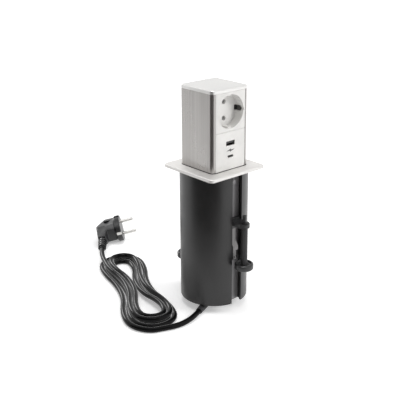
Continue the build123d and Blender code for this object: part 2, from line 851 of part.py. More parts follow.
def biarc(start, start_heading, end, end_heading):
    """Two arcs that join two places, tangent to the heading at each."""
    chord = end - start
    both = start_heading + end_heading
    turn_share = 2 * (1 - start_heading.dot(end_heading))
    if turn_share < parallel_share:
        reach = chord.dot(chord) / (4 * chord.dot(end_heading))
    else:
        reach = (sqrt(chord.dot(both) ** 2 + turn_share * chord.dot(chord)) - chord.dot(both)) / turn_share
    first_corner = start + start_heading * reach
    last_corner = end - end_heading * reach
    middle = (first_corner + last_corner) / 2
    return [
        Edge.make_tangent_arc(start, start_heading, middle),
        Edge.make_tangent_arc(middle, (last_corner - first_corner).normalized(), end),
    ]


hank_nodes = [hank_node(number) for number in range(hank_first, hank_last + 1)]
hank_edges = []
hank_start, hank_start_heading = hank_nodes[0]
hank_end, hank_end_heading = hank_nodes[-1]
hank_lead_in = hank_start - hank_start_heading * cord_diameter
hank_lead_out = hank_end + hank_end_heading * cord_diameter
hank_edges.append(Edge.make_line(hank_lead_in, hank_start))
for (here, heading), (there, next_heading) in zip(hank_nodes, hank_nodes[1:]):
    hank_edges += biarc(here, heading, there, next_heading)
hank_edges.append(Edge.make_line(hank_end, hank_lead_out))
hank_path = Wire(hank_edges)
cord_hank = tube_along(hank_path, cord_radius)

hank_points = []
for edge in hank_edges:
    count = max(2, round(edge.length / cord_radius))
    hank_points += [edge @ (i / count) for i in range(count)]
hank_places = [(point.X, point.Y, point.Z) for point in hank_points]
hank_stations = [0.0]
for here, there in zip(hank_places, hank_places[1:]):
    hank_stations.append(hank_stations[-1] + dist(here, there))
least_gap = min(
    dist(hank_places[i], hank_places[j])
    for i in range(len(hank_places))
    for j in range(i)
    if hank_stations[i] - hank_stations[j] > 4 * cord_diameter
)
print("hank: length", round(hank_path.length, 1), "least gap", round(least_gap - cord_diameter, 2))

# Free stretches of the cord: heights in these two routes are above the floor.
route_end_run = 11.0
arc_share = 0.45
lead_route = [
    (-19.49, -9.09, 4.7),
    (-44.86, -20.92, 4.7),
    (-57.3, -25.0, 4.1),
    (-70.2, -26.3, 3.4),
]
tail_route = [
    (-40.0, 181.1, 10.6),
    (-32.8, 190.7, 11.1),
]
lead_points = [Vector(x, y, floor_level + height) for x, y, height in lead_route]
lead_points += [hank_lead_in - hank_start_heading * route_end_run, hank_lead_in]
tail_points = [hank_lead_out, hank_lead_out + hank_end_heading * route_end_run]
tail_points += [Vector(x, y, floor_level + height) for x, y, height in tail_route]


def free_cord(name, points):
    """Straight runs joined by arcs as large as the runs allow."""
    runs = [b - a for a, b in zip(points, points[1:])]
    radii = []
    for before, after in zip(runs, runs[1:]):
        turn = radians(before.get_angle(after))
        radii.append(arc_share * min(before.length, after.length) / tan(turn / 2))
    path = FilletPolyline(*points, radius=radii)
    solid = tube_along(path, cord_radius)
    expected = pi * cord_radius**2 * path.length
    print(name, "length", round(path.length, 1), "radii", [round(r) for r in radii])
    print(name, "volume", round(solid.volume), "section times length", round(expected))
    return solid


cord_lead = free_cord("cord_lead", lead_points)
cord_tail = free_cord("cord_tail", tail_points)

# Plug: angled two-pin mains plug with side earth strips, lying on its side on the floor.
# Drawn with its pins along Z, its cord leaving along -Y and the middle of its face at zero.
plug_tilt = 13.3
plug_rim_edge = 0.9
plug_groove_radius = 16.0
plug_groove_depth = 1.6
plug_body_half = 12.0
plug_neck_half = 7.0
plug_neck_thickness = 11.2
plug_neck_reach = 29.0
plug_cord_depth = 27.0
plug_back_depth = 35.0
plug_round = 2.0
plug_guide_width = 5.4
plug_guide_depth = 2.0
plug_grip_depth = 2.2
earth_strip_width = 4.0
earth_strip_thickness = 0.7
plug_relief_length = 24.0
plug_relief_root_radius = 4.9
plug_relief_tip_radius = 3.9
plug_rib_height = 1.5
plug_rib_width = 2.6
plug_ribs = 4
pin_embed = 6.0
pin_round_share = 0.7
plug_disc_radius = plug_disc_diameter / 2
pin_radius = pin_diameter / 2
groove_back = -plug_disc_thickness - plug_groove_depth
plug_side_shares = [
    (0.86, groove_back / plug_back_depth),
    (0.89, -0.66),
    (-0.11, -1.0),
]
plug_side = [(y * plug_disc_radius, z * plug_back_depth) for y, z in plug_side_shares]
plug_neck_front = -plug_cord_depth + plug_neck_thickness / 2
plug_neck_back = -plug_cord_depth - plug_neck_thickness / 2
plug_chin = -plug_disc_radius + plug_groove_depth
plug_side += [
    (-plug_neck_reach, plug_neck_back),
    (-plug_neck_reach, plug_neck_front),
    (plug_chin, plug_neck_front + plug_groove_depth),
    (plug_chin, groove_back),
]
plug_back_view = [
    (-plug_body_half, plug_disc_radius),
    (plug_body_half, plug_disc_radius),
    (plug_body_half, -plug_body_half / 2),
    (plug_neck_half, -plug_neck_reach),
    (-plug_neck_half, -plug_neck_reach),
    (-plug_body_half, -plug_body_half / 2),
]
plug_shell = side_prism(plug_side, plug_body_half + overrun)
plug_shell &= prism(make_face(Polyline(*plug_back_view, close=True)), -plug_back_depth, 0)
plug_back_edges = plug_shell.edges().filter_by(lambda edge: edge.center().Z < groove_back - overrun)
plug_shell = fillet(plug_back_edges, plug_round)
plug_disc = upright(plug_disc_radius, -plug_disc_thickness, 0)
plug_disc = chamfer(plug_disc.edges(), plug_rim_edge)
plug_body = plug_shell + plug_disc + upright(plug_groove_radius, groove_back, -plug_disc_thickness)
plug_grip_shares = [
    (0.5, -0.7),
    (0.45, -0.4),
    (-0.5, -0.58),
]
grip_corners = [(y * plug_disc_radius, z * plug_back_depth) for y, z in plug_grip_shares]
grip_face = make_face(Polyline(*grip_corners, close=True))
plug_pins = []
earth_strips = []
for side in (-1, 1):
    grip_plane = Plane.YZ.offset(side * plug_body_half)
    plug_body -= extrude(grip_plane * grip_face, amount=plug_grip_depth, both=True)
    plug_body -= box_between(
        (side * plug_disc_radius - plug_guide_depth, -plug_guide_width / 2, groove_back),
        (side * plug_disc_radius + plug_guide_depth, plug_guide_width / 2, overrun),
    )
    pin = Pos(side * pin_spacing / 2, 0, 0) * upright(pin_radius, -pin_embed, pin_length)
    pin = fillet(pin.faces().sort_by(Axis.Z)[-1].edges(), pin_radius * pin_round_share)
    plug_body -= pin
    plug_pins.append(pin)
    strip_y = side * (plug_disc_radius - earth_strip_thickness)
    strip = box_between(
        (-earth_strip_width / 2, strip_y - earth_strip_thickness, -plug_disc_thickness + plug_rim_edge),
        (earth_strip_width / 2, strip_y + earth_strip_thickness / 2, 0),
    )
    plug_body -= strip
    strip_room_y = side * plug_disc_radius
    strip_room_reach = 2 * earth_strip_thickness
    plug_body -= box_between(
        (-earth_strip_width / 2, strip_room_y - strip_room_reach, overrun - plug_disc_thickness),
        (earth_strip_width / 2, strip_room_y + strip_room_reach, overrun),
    )
    earth_strips.append(strip)
relief_points = [(0, -plug_neck_reach), (plug_relief_root_radius, -plug_neck_reach)]
rib_pitch = (plug_relief_length - plug_rib_width) / plug_ribs
relief_slope = (plug_relief_root_radius - plug_relief_tip_radius) / plug_relief_length
for number in range(plug_ribs):
    rib_start = number * rib_pitch + rib_pitch - plug_rib_width
    rib_end = rib_start + plug_rib_width
    core_start = plug_relief_root_radius - relief_slope * rib_start
    core_end = plug_relief_root_radius - relief_slope * rib_end
    relief_points += [
        (core_start, -plug_neck_reach - rib_start),
        (core_start + plug_rib_height, -plug_neck_reach - rib_start),
        (core_end + plug_rib_height, -plug_neck_reach - rib_end),
        (core_end, -plug_neck_reach - rib_end),
    ]
relief_tip_y = -plug_neck_reach - plug_relief_length
relief_points += [(plug_relief_tip_radius, relief_tip_y), (0, relief_tip_y)]
plug_relief = revolve(make_face(Polyline(*relief_points, close=True)), Axis.Y)
plug_relief = Pos(0, 0, -plug_cord_depth) * plug_relief

into_plug = (tail_points[-1] - tail_points[-2]).normalized()
level_in = Vector(into_plug.X, into_plug.Y, 0).normalized()
pins_level = Vector(level_in.Y, -level_in.X, 0)
pins_heading = pins_level * cos(radians(plug_tilt)) + Vector(0, 0, sin(radians(plug_tilt)))
pins_heading = (pins_heading - into_plug * pins_heading.dot(into_plug)).normalized()
side_heading = into_plug.cross(pins_heading)
plug_origin = tail_points[-1] - into_plug * relief_tip_y + pins_heading * plug_cord_depth
plug_frame = Plane(origin=plug_origin, x_dir=side_heading, z_dir=pins_heading)
plug_body = plug_frame * plug_body
plug_relief = plug_frame * plug_relief
plug_pins = [plug_frame * pin for pin in plug_pins]
earth_strips = [plug_frame * strip for strip in earth_strips]
print("plug's lowest point above the floor", round(plug_body.bounding_box().min.Z - floor_level, 2))

pieces = {
    "flange": [flange_plate],
    "guide_collar": [collar],
    "collar_screws": collar_screws,
    "tube": [tube],
    "tube_screws": tube_screws,
    "bottom_cap": [bottom_cap],
    "lead_elbow": [lead_elbow],
    "cord_strain_relief": [cord_relief],
    "push_latch": [push_latch],
    "lift_spring": [lift_spring],
    "inner_lead": [inner_lead],
    "column_casing": [column_casing],
    "top_cap": [top_cap],
    "column_base": [column_base],
    "base_screws": base_screws,
    "latch_striker": [striker],
    "column_lead": [column_lead],
    "socket_front": [socket_front],
    "socket_base": [socket_base],
    "socket_shutter": [shutter],
    "pin_contacts": pin_contacts,
    "earth_clip": [earth_clip],
    "usb_front": [usb_front],
    "usb_cover": [usb_cover],
    "usb_a_shell": [usb_a_shell],
    "usb_a_tongue": [usb_a_tongue],
    "usb_c_shell": [usb_c_shell],
    "usb_c_tongue": [usb_c_tongue],
    "usb_board": [usb_board],
    "usb_transformer": [transformer],
    "usb_capacitors": capacitors,
    "terminal_block": [terminal_block],
    "terminal_screws": terminal_screws,
    "cord_lead": [cord_lead],
    "cord_hank": [cord_hank],
    "cord_tail": [cord_tail],
    "plug_body": [plug_body],
    "plug_strain_relief": [plug_relief],
    "plug_pins": plug_pins,
    "plug_earth_strips": earth_strips,
}
for name, wire in wires.items():
    pieces[name] = [wire]
for end, place in clamp_places.items():
    for name, piece in clamp_pieces.items():
        pieces[f"{end}_{name}"] = [place * piece]
for name, solids in pieces.items():
    save(name, *solids)
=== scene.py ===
import json
from math import cos, radians, sin, sqrt

import bmesh
import bpy
import numpy as np
from mathutils import Matrix, Vector

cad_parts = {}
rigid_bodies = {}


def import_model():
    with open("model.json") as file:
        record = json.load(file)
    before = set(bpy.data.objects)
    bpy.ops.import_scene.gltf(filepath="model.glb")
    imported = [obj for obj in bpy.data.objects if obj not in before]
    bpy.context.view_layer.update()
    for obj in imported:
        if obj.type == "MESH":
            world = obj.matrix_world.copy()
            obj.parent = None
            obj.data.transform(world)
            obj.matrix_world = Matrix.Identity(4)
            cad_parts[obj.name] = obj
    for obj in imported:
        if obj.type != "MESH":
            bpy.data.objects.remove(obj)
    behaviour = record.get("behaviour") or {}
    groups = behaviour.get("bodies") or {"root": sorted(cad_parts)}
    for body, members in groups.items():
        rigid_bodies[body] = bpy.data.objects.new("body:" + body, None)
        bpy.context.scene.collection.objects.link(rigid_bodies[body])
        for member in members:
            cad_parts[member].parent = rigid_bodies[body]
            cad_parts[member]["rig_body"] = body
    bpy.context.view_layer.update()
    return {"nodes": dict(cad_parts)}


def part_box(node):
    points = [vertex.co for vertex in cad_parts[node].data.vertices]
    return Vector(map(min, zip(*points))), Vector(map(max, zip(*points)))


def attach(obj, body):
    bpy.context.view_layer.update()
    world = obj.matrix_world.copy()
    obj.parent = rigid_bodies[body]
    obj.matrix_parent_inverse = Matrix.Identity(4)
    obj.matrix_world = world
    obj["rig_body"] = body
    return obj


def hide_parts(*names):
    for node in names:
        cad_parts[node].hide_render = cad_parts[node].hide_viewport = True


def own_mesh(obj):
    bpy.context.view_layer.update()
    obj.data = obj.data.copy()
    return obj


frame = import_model()
nodes = frame["nodes"]
scene = bpy.context.scene

# Camera: stands to the front left of the socket and looks down on it by about 18 degrees.
# Its place, turn and lens were fitted to the column, the flange and the tube.
camera_place = Vector((-0.56323, -0.61105, 0.27619))
camera_azimuth = radians(-42.358)
camera_elevation = radians(17.654)
focal_pixels = 754.7
optical_centre_pixels = (210.0, 157.3)
picture_pixels = 400
sensor_width = 36
camera_right = Vector((cos(camera_azimuth), sin(camera_azimuth), 0))
camera_back = Vector(
    (
        sin(camera_azimuth) * cos(camera_elevation),
        -cos(camera_azimuth) * cos(camera_elevation),
        sin(camera_elevation),
    )
)
camera_up = camera_back.cross(camera_right)
camera_data = bpy.data.cameras.new("photo_camera")
camera_data.sensor_width = sensor_width
camera_data.lens = sensor_width * focal_pixels / picture_pixels
camera_data.shift_x = 1 / 2 - optical_centre_pixels[0] / picture_pixels
camera_data.shift_y = optical_centre_pixels[1] / picture_pixels - 1 / 2
camera = bpy.data.objects.new("photo_camera", camera_data)
scene.collection.objects.link(camera)
turn = Matrix((camera_right, camera_up, camera_back)).transposed().to_4x4()
camera.matrix_world = Matrix.Translation(camera_place) @ turn
scene.camera = camera

# Plug: black moulded body with nickelled pins and, at its sides, nickelled earth strips. It is
# moulded on to the end of the cord with a ribbed strain relief.
noise_range = (0.3, 0.7)
cloud_cells = 45
cloud_shades = (0.93, 1.06)
cloud_gloss = (0.88, 1.12)
plate_cells = 260
plate_shades = (0.94, 1.04)
plate_gloss = (0.88, 1.15)
weld_reach = 0.000002
flat_angle = radians(0.5)
smooth_angle = radians(35)
edge_angle = radians(40)
edge_steps = 2
plug_edge = 0.0005


def new_finish(name, colour, roughness, metallic=0.0, specular=0.5):
    """A material with an even base, and the handles that the finishes below build on."""
    material = bpy.data.materials.new(name)
    material.use_nodes = True
    tree = material.node_tree
    shader = tree.nodes["Principled BSDF"]
    shader.inputs["Base Color"].default_value = (*colour, 1)
    shader.inputs["Roughness"].default_value = roughness
    shader.inputs["Metallic"].default_value = metallic
    shader.inputs["Specular IOR Level"].default_value = specular
    return material, tree, shader


def object_noise(tree, stretch, detail, rough_share=0.55):
    """Noise on the object's own coordinates, with as many cells to a metre along X, Y and Z as given."""
    coordinates = tree.nodes.new("ShaderNodeTexCoord")
    mapping = tree.nodes.new("ShaderNodeMapping")
    mapping.inputs["Scale"].default_value = stretch
    noise = tree.nodes.new("ShaderNodeTexNoise")
    noise.inputs["Scale"].default_value = 1
    noise.inputs["Detail"].default_value = detail
    noise.inputs["Roughness"].default_value = rough_share
    tree.links.new(coordinates.outputs["Object"], mapping.inputs["Vector"])
    tree.links.new(mapping.outputs["Vector"], noise.inputs["Vector"])
    return noise.outputs["Fac"]


def vary_colour(tree, shader, factor, colour, shares):
    """Colours the shader by a factor, between two shares of its colour."""
    ramp = tree.nodes.new("ShaderNodeValToRGB")
    for stop, place, share in zip(ramp.color_ramp.elements, noise_range, shares):
        stop.position = place
        stop.color = (*[min(channel * share, 1) for channel in colour], 1)
    tree.links.new(factor, ramp.inputs["Fac"])
    tree.links.new(ramp.outputs["Color"], shader.inputs["Base Color"])


def vary_roughness(tree, shader, factor, roughness, shares):
    """Sets the shader's roughness by a factor, between two shares of its value."""
    ranged = tree.nodes.new("ShaderNodeMapRange")
    limits = (*noise_range, *[roughness * share for share in shares])
    for name, limit in zip(("From Min", "From Max", "To Min", "To Max"), limits):
        ranged.inputs[name].default_value = limit
    tree.links.new(factor, ranged.inputs["Value"])
    tree.links.new(ranged.outputs["Result"], shader.inputs["Roughness"])


def raise_bumps(tree, shader, factor, height, strength=0.5):
    """Bumps of a height in metres."""
    bump = tree.nodes.new("ShaderNodeBump")
    bump.inputs["Distance"].default_value = height
    bump.inputs["Strength"].default_value = strength
    tree.links.new(factor, bump.inputs["Height"])
    tree.links.new(bump.outputs["Normal"], shader.inputs["Normal"])


def moulded(name, colour, roughness=0.42, grain=1800, height=0.00002, specular=0.5):
    """Moulded plastic or rubber: a cloudy shade, a worn gloss and a fine eroded grain."""
    material, tree, shader = new_finish(name, colour, roughness, specular=specular)
    clouds = object_noise(tree, (cloud_cells,) * 3, detail=3)
    vary_colour(tree, shader, clouds, colour, cloud_shades)
    vary_roughness(tree, shader, clouds, roughness, cloud_gloss)
    raise_bumps(tree, shader, object_noise(tree, (grain,) * 3, detail=2), height)
    return material


def plated(name, colour, roughness):
    """Plated or bare metal: a bright face with a faint cloud in its shade and its gloss."""
    material, tree, shader = new_finish(name, colour, roughness, metallic=1)
    clouds = object_noise(tree, (plate_cells,) * 3, detail=3)
    vary_colour(tree, shader, clouds, colour, plate_shades)
    vary_roughness(tree, shader, clouds, roughness, plate_gloss)
    return material


def clothe(finish, *names):
    """Gives a finish to CAD nodes or pieces."""
    for name in names:
        mesh = bpy.data.objects[name].data
        mesh.materials.clear()
        mesh.materials.append(finish)


def edged(node, width, finish):
    """A copy of a CAD node with its loose triangles joined and its sharp edges rounded off."""
    source = nodes[node]
    mesh = source.data.copy()
    mesh.name = node + "_edged"
    form = bmesh.new()
    form.from_mesh(mesh)
    bmesh.ops.remove_doubles(form, verts=form.verts, dist=weld_reach)
    bmesh.ops.dissolve_limit(form, angle_limit=flat_angle, verts=form.verts, edges=form.edges)
    form.to_mesh(mesh)
    form.free()
    mesh.shade_smooth()
    mesh.set_sharp_from_angle(angle=smooth_angle)
    piece = bpy.data.objects.new(node + "_edged", mesh)
    scene.collection.objects.link(piece)
    rounding = piece.modifiers.new("edge_rounding", "BEVEL")
    rounding.width = width
    rounding.segments = edge_steps
    rounding.limit_method = "ANGLE"
    rounding.angle_limit = edge_angle
    rounding.use_clamp_overlap = True
    rounding.harden_normals = True
    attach(piece, source["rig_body"])
    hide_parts(node)
    clothe(finish, piece.name)


plug_finish = moulded("plug_black", (0.016, 0.016, 0.017), roughness=0.33, grain=1500, height=0.000015)
edged("plug_body", plug_edge, plug_finish)
clothe(plug_finish, "plug_strain_relief")
nickel = plated("nickel_plate", (0.64, 0.63, 0.61), roughness=0.32)
clothe(nickel, "plug_pins", "plug_earth_strips")

# Cord: one round black mains lead from the foot, through four loops laid flat and drawn in
# at the middle, to the plug. The loops spiral in on the floor, climb and spiral out again.
cord_radius = 0.0032
cord_sides = 20
seat_gap = 0.00002
floor_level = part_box("bottom_cap")[0].z
hank_heading = radians(68)
hank_floor = Vector((-0.0861, 0.0118, floor_level + cord_radius + seat_gap))
hank_reach = 0.141
hank_low_radius = 0.013
hank_high_radius = 0.011
hank_waist = 0.0018
hank_step = 0.007
hank_waist_step = 0.0076
hank_layer_step = 0.00705
hank_first = -4
hank_turn = 18
hank_last = 31
hank_turn_nodes = 8
hank_climb_nodes = 2
hank_along = Vector((cos(hank_heading), sin(hank_heading), 0))
hank_across = Vector((hank_along.y, -hank_along.x, 0))
route_end_run = 0.011
route_steps = 10
straight_share = 1e-9
bar_edge_angle = radians(50)
lead_route = [
    (-0.01949, -0.00909, 0.0047),
    (-0.04486, -0.02092, 0.0047),
    (-0.0573, -0.025, 0.0041),
    (-0.0702, -0.0263, 0.0034),
]
tail_route = [
    (-0.04, 0.1811, 0.0106),
    (-0.0328, 0.1907, 0.0111),
]


def hank_node(number):
    """Place and heading of the cord at one eighth of a turn of the hank."""
    offset = abs(number - hank_turn) / hank_turn_nodes
    climbed = min(max(number - (hank_turn - 1), 0), hank_climb_nodes)
    lift = climbed / hank_climb_nodes * hank_layer_step
    low = hank_low_radius + offset * hank_step
    high = hank_high_radius + offset * hank_step
    waist = hank_waist + offset * hank_waist_step
    spots = [
        (hank_reach + high, 0, 1),
        (hank_reach, high, 0),
        (hank_reach / 2, waist, 0),
        (0, low, 0),
        (-low, 0, -1),
        (0, -low, 0),
        (hank_reach / 2, -waist, 0),
        (hank_reach, -high, 0),
    ]
    along, across, sideways = spots[number % hank_turn_nodes]
    spot = hank_floor + hank_along * along + hank_across * across + Vector((0, 0, lift))
    heading = hank_across * sideways
    if sideways == 0:
        heading = hank_along * (-1 if across > 0 else 1)
    return spot, heading


def turn_points(start, start_heading, end, end_heading):
    """The two points between neighbouring places: one ahead of the first and one behind the next, each
    as far from its place as half the way between the two."""
    chord = end - start
    both = start_heading + end_heading
    turn_share = 2 * (1 - start_heading.dot(end_heading))
    if turn_share < straight_share:
        reach = chord.dot(chord) / (4 * chord.dot(end_heading))
    else:
        ahead = chord.dot(both)
        reach = (sqrt(ahead**2 + turn_share * chord.dot(chord)) - ahead) / turn_share
    return [start + start_heading * reach, end - end_heading * reach]


hank_nodes = [hank_node(number) for number in range(hank_first, hank_last + 1)]
hank_start, hank_start_heading = hank_nodes[0]
hank_end, hank_end_heading = hank_nodes[-1]
cord_points = [Vector((x, y, floor_level + height)) for x, y, height in lead_route]
cord_points.append(hank_start - hank_start_heading * (2 * cord_radius + route_end_run))
cord_points.append(hank_start - hank_start_heading * 2 * cord_radius)
for (here, heading), (there, next_heading) in zip(hank_nodes, hank_nodes[1:]):
    cord_points += turn_points(here, heading, there, next_heading)
cord_points.append(hank_end + hank_end_heading * 2 * cord_radius)
cord_points.append(hank_end + hank_end_heading * (2 * cord_radius + route_end_run))
cord_points += [Vector((x, y, floor_level + height)) for x, y, height in tail_route]


def spline_places(points):
    """Places along one smooth NURBS line that has the given control points."""
    curve = bpy.data.curves.new("route", "CURVE")
    curve.dimensions = "3D"
    curve.resolution_u = route_steps
    line = curve.splines.new("NURBS")
    line.points.add(len(points) - 1)
    for point, place in zip(line.points, points):
        point.co = (*place, 1)
    line.order_u = 3
    line.use_endpoint_u = True
    route = bpy.data.objects.new("route", curve)
    mesh = bpy.data.meshes.new_from_object(route)
    places = np.empty(len(mesh.vertices) * 3)
    mesh.vertices.foreach_get("co", places)
    bpy.data.objects.remove(route)
    bpy.data.meshes.remove(mesh)
    return places.reshape(-1, 3)


def swept(name, middle, ahead, aside, radii, sides):
    """A closed round bar along a row of places. Side k of ring i lies at middle i plus its radius
    times cos(a) aside i plus sin(a) upward i, where a is k sides' share of a full turn and upward is
    square to both ahead and aside."""
    upward = np.cross(ahead, aside)
    a = np.linspace(0, 2 * np.pi, sides, endpoint=False)
    ring = np.cos(a)[None, :, None] * aside[:, None, :] + np.sin(a)[None, :, None] * upward[:, None, :]
    radii = np.broadcast_to(radii, (len(middle), sides))
    points = (middle[:, None, :] + ring * radii[:, :, None]).reshape(-1, 3)
    steps = len(middle) - 1
    i = np.arange(steps)[:, None] * sides
    j = np.arange(sides)[None, :]
    k = (j + 1) % sides
    quads = np.stack([i + j, i + k, i + sides + k, i + sides + j], -1).reshape(-1, 4)
    faces = quads.tolist()
    faces.append(list(range(sides - 1, -1, -1)))
    faces.append(list(range(steps * sides, steps * sides + sides)))
    mesh = bpy.data.meshes.new(name)
    mesh.from_pydata(points.tolist(), [], faces)
    mesh.shade_smooth()
    mesh.set_sharp_from_angle(angle=bar_edge_angle)
    piece = bpy.data.objects.new(name, mesh)
    scene.collection.objects.link(piece)
    return piece


def route_headings(places):
    """Headings along a row of places, and the level direction square to each."""
    ahead = np.gradient(places, axis=0)
    ahead /= np.linalg.norm(ahead, axis=1, keepdims=True)
    aside = np.cross(ahead, [0, 0, 1])
    aside /= np.linalg.norm(aside, axis=1, keepdims=True)
    return ahead, aside


cord_places = spline_places(cord_points)
cord_ahead, cord_aside = route_headings(cord_places)
mains_cord = swept("mains_cord", cord_places, cord_ahead, cord_aside, cord_radius, cord_sides)
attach(mains_cord, "housing")
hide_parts("cord_lead", "cord_hank", "cord_tail")
# The photo shows no cord in the gloss of the tube.
mains_cord.visible_glossy = False
cord_black = (0.004, 0.004, 0.0042)
cord_finish = moulded("cord_sheath", cord_black, roughness=0.12, grain=900, height=0.00001, specular=0.12)
clothe(cord_finish, "mains_cord", "lead_elbow", "column_lead")

# Floor and light: a white floor under a white studio sky, lit from the front right and from
# overhead. Sky and floor are white to the eye, and the floor keeps the object's shadow. The dark
# card in front, the fill lamp, the strip lamp above it and the rear lamp show only in gloss.
floor_radius = 9.0
floor_sides = 64
floor_roughness = 0.9
sky_level = 0.36
floor_shade = 0.93
floor_glow = 0.36
far_glow = 1.0
glow_from = 0.5
glow_to = 1.8
lamp_setups = {
    "key_lamp": {"place": (1.1, -1.5, 1.0), "side": 1.0, "watts": 25, "glossy": False, "diffuse": True},
    "fill_lamp": {"place": (-1.7, -0.4, 0.9), "side": 1.2, "watts": 4, "glossy": True, "diffuse": False},
    "top_lamp": {"place": (0.0, 0.1, 1.9), "side": 1.3, "watts": 21, "glossy": False, "diffuse": True},
    "strip_lamp": {"place": (-0.6, -0.5, 1.2), "side": 0.7, "watts": 16, "glossy": True, "diffuse": False},
    "rear_lamp": {"place": (0.1, 1.5, 0.52), "side": 0.5, "watts": 6, "glossy": True, "diffuse": False},
}
card_distance = 0.2
card_half_width = 0.23
card_top = 0.3
card_turn = radians(26)
card_colour = (0.15, 0.143, 0.14)
card_roughness = 1.0
white = (1, 1, 1, 1)
aim = Vector((0, 0, -0.03))


def maths(tree, operation, *values):
    """The outcome of an operation on numbers and on what other nodes give."""
    step = tree.nodes.new("ShaderNodeMath")
    step.operation = operation
    for socket, value in zip(step.inputs, values):
        if isinstance(value, bpy.types.NodeSocket):
            tree.links.new(value, socket)
        else:
            socket.default_value = value
    return step.outputs[0]


def seen_share(tree):
    """One for what the camera sees straight, in gloss or through something clear, and otherwise zero."""
    ray = tree.nodes.new("ShaderNodeLightPath")
    share = ray.outputs["Is Camera Ray"]
    for kind in ("Is Glossy Ray", "Is Transmission Ray"):
        share = maths(tree, "MAXIMUM", share, ray.outputs[kind])
    return share


world = bpy.data.worlds.new("studio_sky")
scene.world = world
world.use_nodes = True
sky_tree = world.node_tree
sky_tree.nodes.clear()
seen_sky = sky_tree.nodes.new("ShaderNodeBackground")
lit_sky = sky_tree.nodes.new("ShaderNodeBackground")
seen_sky.inputs["Strength"].default_value = 1
lit_sky.inputs["Strength"].default_value = sky_level
seen_sky.inputs["Color"].default_value = white
lit_sky.inputs["Color"].default_value = white
sky_mix = sky_tree.nodes.new("ShaderNodeMixShader")
sky_output = sky_tree.nodes.new("ShaderNodeOutputWorld")
sky_tree.links.new(seen_share(sky_tree), sky_mix.inputs[0])
sky_tree.links.new(lit_sky.outputs[0], sky_mix.inputs[1])
sky_tree.links.new(seen_sky.outputs[0], sky_mix.inputs[2])
sky_tree.links.new(sky_mix.outputs[0], sky_output.inputs["Surface"])
for name, setup in lamp_setups.items():
    lamp_data = bpy.data.lights.new(name, "AREA")
    lamp_data.shape = "SQUARE"
    lamp_data.size = setup["side"]
    lamp_data.energy = setup["watts"]
    lamp = bpy.data.objects.new(name, lamp_data)
    scene.collection.objects.link(lamp)
    lamp.location = setup["place"]
    lamp.rotation_euler = (aim - lamp.location).to_track_quat("-Z", "Y").to_euler()
    lamp.visible_camera = False
    lamp.visible_diffuse = setup["diffuse"]
    lamp.visible_glossy = setup["glossy"]
floor_angles = np.linspace(0, 2 * np.pi, floor_sides, endpoint=False)
floor_across = floor_radius * np.cos(floor_angles)
floor_along = floor_radius * np.sin(floor_angles)
floor_rim = np.stack([floor_across, floor_along, np.full(floor_sides, floor_level)], 1)
floor_mesh = bpy.data.meshes.new("studio_floor")
floor_mesh.from_pydata(floor_rim.tolist(), [], [list(range(floor_sides))])
studio_floor = bpy.data.objects.new("studio_floor", floor_mesh)
scene.collection.objects.link(studio_floor)
floor_finish, floor_tree, floor_shader = new_finish(
    "studio_floor", (floor_shade,) * 3, floor_roughness, specular=0.0
)
floor_mesh.materials.append(floor_finish)
floor_places = floor_tree.nodes.new("ShaderNodeTexCoord")
floor_distance = floor_tree.nodes.new("ShaderNodeVectorMath")
floor_distance.operation = "LENGTH"
floor_tree.links.new(floor_places.outputs["Object"], floor_distance.inputs[0])
far_range = floor_tree.nodes.new("ShaderNodeMapRange")
far_range.inputs["From Min"].default_value = glow_from
far_range.inputs["From Max"].default_value = glow_to
far_range.inputs["To Min"].default_value = 0
far_range.inputs["To Max"].default_value = far_glow - floor_glow
floor_tree.links.new(floor_distance.outputs["Value"], far_range.inputs["Value"])
floor_ray = floor_tree.nodes.new("ShaderNodeLightPath")
camera_share = floor_ray.outputs["Is Camera Ray"]
near_part = maths(floor_tree, "MULTIPLY", seen_share(floor_tree), floor_glow)
glow_level = maths(floor_tree, "MULTIPLY_ADD", camera_share, far_range.outputs["Result"], near_part)
glow_shader = floor_tree.nodes.new("ShaderNodeEmission")
floor_sum = floor_tree.nodes.new("ShaderNodeAddShader")
floor_tree.links.new(glow_level, glow_shader.inputs["Strength"])
floor_tree.links.new(floor_shader.outputs[0], floor_sum.inputs[0])
floor_tree.links.new(glow_shader.outputs[0], floor_sum.inputs[1])
floor_tree.links.new(floor_sum.outputs[0], floor_tree.nodes["Material Output"].inputs["Surface"])
camera_heading = Vector((camera_back.x, camera_back.y, 0)).normalized()
card_heading = camera_heading * cos(card_turn) - camera_right * sin(card_turn)
card_across = Vector((-card_heading.y, card_heading.x, 0))
card_middle = card_heading * card_distance
card_corners = []
for across, level in ((-1, floor_level), (1, floor_level), (1, card_top), (-1, card_top)):
    card_corners.append(card_middle + card_across * card_half_width * across + Vector((0, 0, level)))
card_mesh = bpy.data.meshes.new("dark_card")
card_mesh.from_pydata([tuple(corner) for corner in card_corners], [], [(0, 1, 2, 3)])
dark_card = bpy.data.objects.new("dark_card", card_mesh)
scene.collection.objects.link(dark_card)
card_finish, _, _ = new_finish("dark_card", card_colour, card_roughness, specular=0.0)
card_mesh.materials.append(card_finish)
dark_card.visible_camera = False
dark_card.visible_diffuse = False
dark_card.visible_shadow = False
dark_card.visible_transmission = False

# Flange: brushed steel plate with rounded corners and a softened upper edge. It rests on the
# desk top and frames the column, and the guide collar and the tube hang from it.
streak_detail = 5
streak_rough_share = 0.7
streak_bump = 0.4
sheet_cells = (30, 30, 12)
sheet_gloss = (0.85, 1.15)
flange_edge = 0.0002


